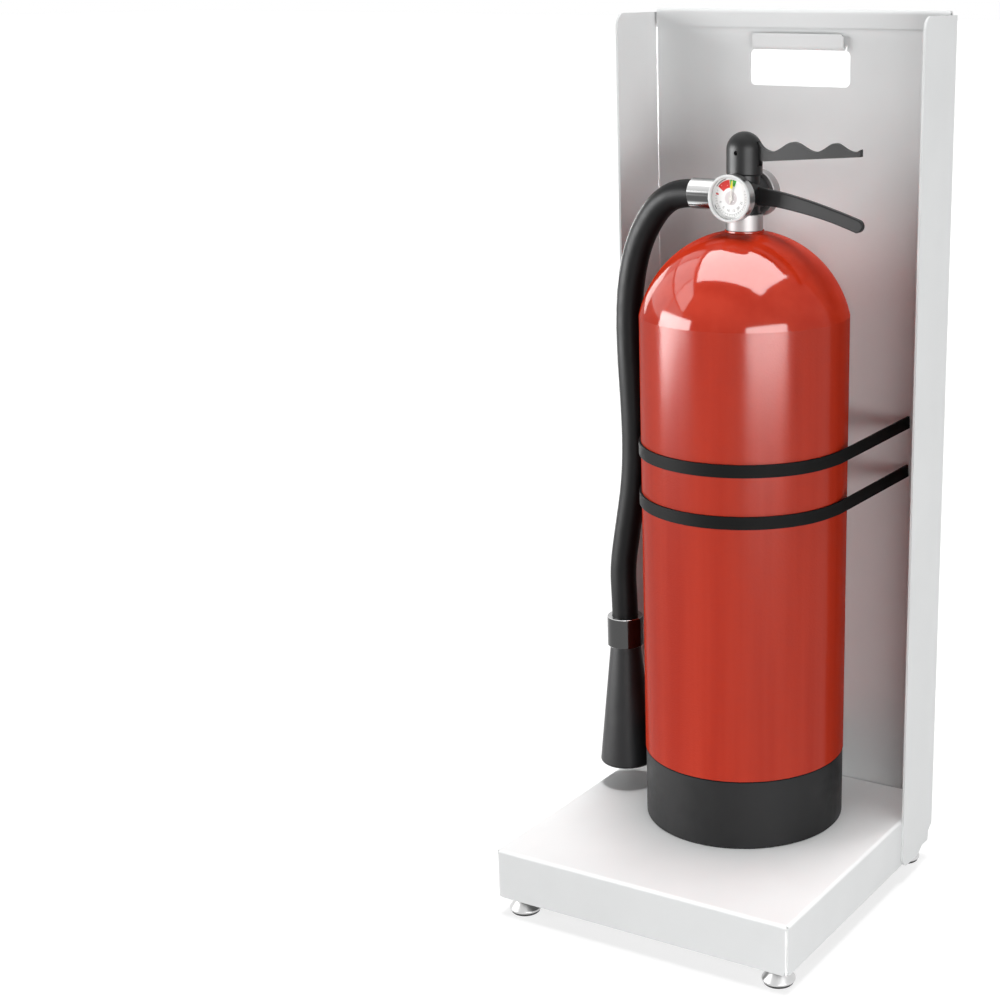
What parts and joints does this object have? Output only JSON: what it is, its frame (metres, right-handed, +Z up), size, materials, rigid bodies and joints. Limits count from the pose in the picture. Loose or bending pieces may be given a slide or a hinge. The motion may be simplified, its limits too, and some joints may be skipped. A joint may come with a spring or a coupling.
{
  "type": "fire extinguisher stand",
  "caption": "Floor stand of folded white sheet metal with levelling feet, holding a red fire extinguisher with squeeze valve, gauge, hose and horn by two elastic straps.",
  "frame": {"origin": "on the floor under the middle of the stand's footprint, measured without the hose, its band and its horn", "axes": "+Z up, the open front faces -Y, +X to the right seen from the front"},
  "size_m": [0.29, 0.288, 0.7605],
  "materials": {
    "white_sheet": "white powder coat, satin",
    "red_paint": "red enamel, gloss",
    "black_boot": "dark grey moulded plastic",
    "satin_metal": "satin turned",
    "black_valve": "black, satin",
    "black_lever": "dark grey powder coat, matte",
    "chrome": "bright",
    "gauge_steel": "bright, darker than the hose's fittings",
    "gauge_white": "white",
    "gauge_glass": "clear",
    "gauge_dial": "pale printed dial",
    "gauge_yellow": "yellow",
    "hose_rubber": "smooth black",
    "black_horn": "black moulded",
    "strap_rubber": "flat black elastic",
    "zinc": "zinc plated",
    "foot_metal": "satin zinc",
    "pad_rubber": "black"
  },
  "bodies": {
    "stand": {"back_panel": "white_sheet", "base_tray": "white_sheet", "cylinder_wall": "red_paint", "cylinder_dome": "red_paint", "cylinder_bottom": "red_paint", "cylinder_boot": "black_boot", "neck_collar": "satin_metal", "valve_body": "black_valve", "valve_cap": "black_lever", "lever_pin": "satin_metal", "carry_handle": "black_lever", "gauge_case": "gauge_steel", "gauge_bezel": "gauge_white", "gauge_glass": "gauge_glass", "gauge_dial": "gauge_dial", "valve_back_disc": "satin_metal", "hose_ferrule": "chrome", "hose": "hose_rubber", "horn_band": "chrome", "horn": "black_horn", "strap_upper": "strap_rubber", "strap_lower": "strap_rubber", "foot_bracket_front_left": "white_sheet", "foot_nut_front_left": "zinc", "foot_bracket_front_right": "white_sheet", "foot_nut_front_right": "zinc", "foot_bracket_back_left": "white_sheet", "foot_nut_back_left": "zinc", "foot_bracket_back_right": "white_sheet", "foot_nut_back_right": "zinc"},
    "squeeze_lever": {"squeeze_lever": "black_lever"},
    "gauge_needle": {"gauge_needle": "gauge_yellow"},
    "foot_front_left": {"levelling_foot_front_left": "foot_metal", "foot_pad_front_left": "pad_rubber"},
    "foot_front_right": {"levelling_foot_front_right": "foot_metal", "foot_pad_front_right": "pad_rubber"},
    "foot_back_left": {"levelling_foot_back_left": "foot_metal", "foot_pad_back_left": "pad_rubber"},
    "foot_back_right": {"levelling_foot_back_right": "foot_metal", "foot_pad_back_right": "pad_rubber"}
  },
  "joints": [
    {"name": "squeeze_lever_turn", "type": "hinge", "parent": "stand", "child": "squeeze_lever", "pos_m": [0.0035, 0.0377, 0.6495], "axis": [0, 1, 0], "range_deg": [0, 12], "stiffness_Nm_per_rad": 0.6, "springref_deg": -20.05},
    {"name": "gauge_needle_turn", "type": "hinge", "parent": "stand", "child": "gauge_needle", "pos_m": [0.0035, 0.0157, 0.614], "axis": [0, 1, 0], "range_deg": [-62, 14], "stiffness_Nm_per_rad": 0.0002},
    {"name": "foot_front_left_screw", "type": "slide", "parent": "stand", "child": "foot_front_left", "axis": [0, 0, 1], "range_m": [-0.01, 0.005]},
    {"name": "foot_front_right_screw", "type": "slide", "parent": "stand", "child": "foot_front_right", "axis": [0, 0, 1], "range_m": [-0.01, 0.005]},
    {"name": "foot_back_left_screw", "type": "slide", "parent": "stand", "child": "foot_back_left", "axis": [0, 0, 1], "range_m": [-0.01, 0.005]},
    {"name": "foot_back_right_screw", "type": "slide", "parent": "stand", "child": "foot_back_right", "axis": [0, 0, 1], "range_m": [-0.01, 0.005]}
  ]
}
